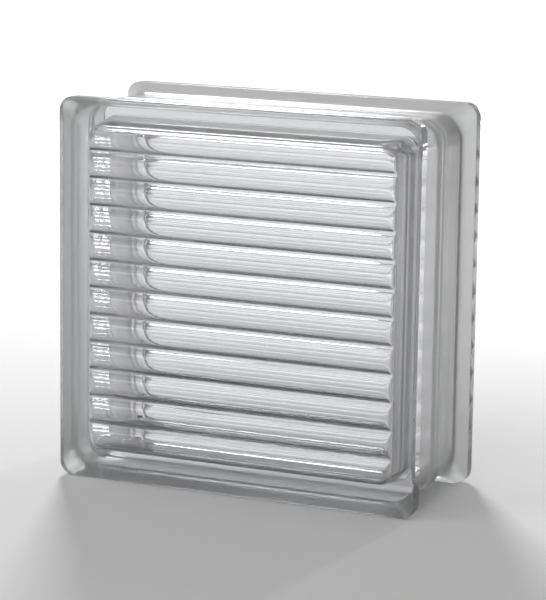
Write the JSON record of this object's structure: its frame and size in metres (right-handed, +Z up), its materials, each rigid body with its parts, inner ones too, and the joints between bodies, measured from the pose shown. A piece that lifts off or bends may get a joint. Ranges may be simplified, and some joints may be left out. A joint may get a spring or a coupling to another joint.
{
  "type": "hollow glass block",
  "caption": "Square hollow glass building block: two fluted half-shells fused rim to rim, with a mortar groove round its edge.",
  "frame": {"origin": "on the floor under the middle of the standing block", "axes": "+X to the right along the face, +Y from the front face to the back face, +Z up"},
  "size_m": [0.19, 0.08, 0.19],
  "materials": {
    "pressed_glass": "clear pressed glass, smooth on the outer faces, fluted inside, satin on the edges and in the groove"
  },
  "bodies": {
    "root": {"front_half_shell": "pressed_glass", "back_half_shell": "pressed_glass"}
  },
  "joints": []
}
